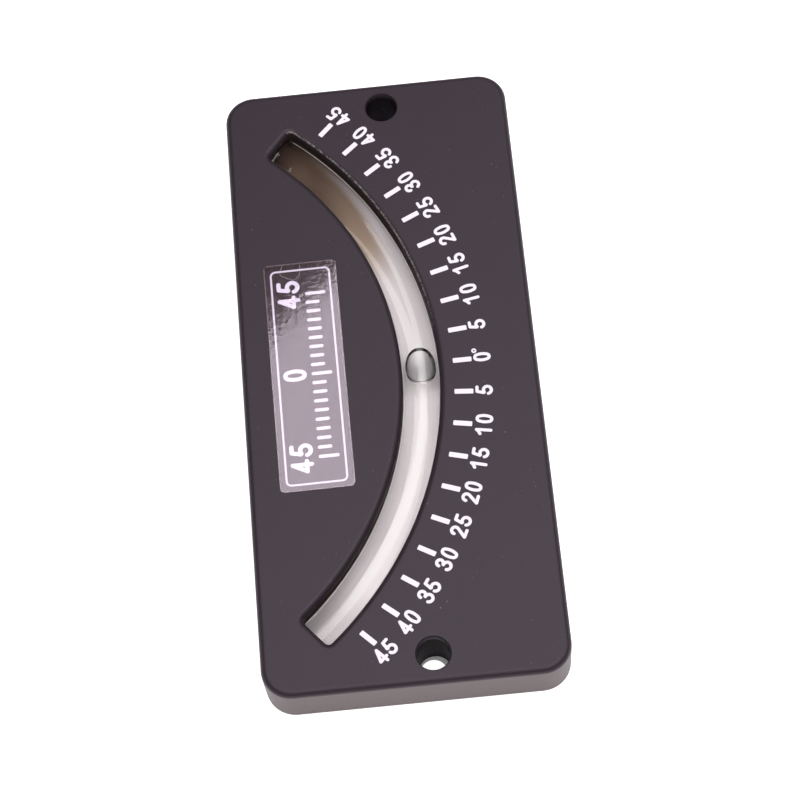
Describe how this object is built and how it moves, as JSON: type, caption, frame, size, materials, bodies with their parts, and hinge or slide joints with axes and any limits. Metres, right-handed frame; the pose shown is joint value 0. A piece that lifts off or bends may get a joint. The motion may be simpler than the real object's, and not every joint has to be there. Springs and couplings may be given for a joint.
{
  "type": "inclinometer",
  "caption": "Panel inclinometer: a curved liquid-filled glass vial with an air bubble that reads slope against an arc scale, in a flat housing.",
  "frame": {"origin": "middle of the back, on the surface that the gauge lies on", "axes": "+Z out of the face, +X along the gauge in the reading direction, +Y towards the label's side"},
  "size_m": [0.1346, 0.06, 0.0121],
  "materials": {
    "housing_plastic": "fine moulded grain, charcoal black",
    "plate_plastic": "smooth black sheet",
    "screw_steel": "zinc plated",
    "vial_glass": "clear drawn glass",
    "vial_liquid": "clear damping liquid",
    "bubble": "air in liquid",
    "backing_white": "white plastic sleeve",
    "cushion_rubber": "soft black rubber",
    "ink_white": "printed white ink",
    "label_film": "clear gloss film over the dark face"
  },
  "bodies": {
    "gauge": {"housing": "housing_plastic", "back_plate": "plate_plastic", "back_plate_screws": "screw_steel", "vial_tube": "vial_glass", "vial_liquid": "vial_liquid", "vial_backing": "backing_white", "end_cushion_left": "cushion_rubber", "end_cushion_right": "cushion_rubber", "scale_ticks": "ink_white", "label_film": "label_film"},
    "bubble": {"air_bubble": "bubble"}
  },
  "joints": [
    {"name": "bubble_travel", "type": "hinge", "parent": "gauge", "child": "bubble", "pos_m": [0, 0.06585, 0], "axis": [0, 0, 1], "range_deg": [-48.9, 47.1]}
  ]
}
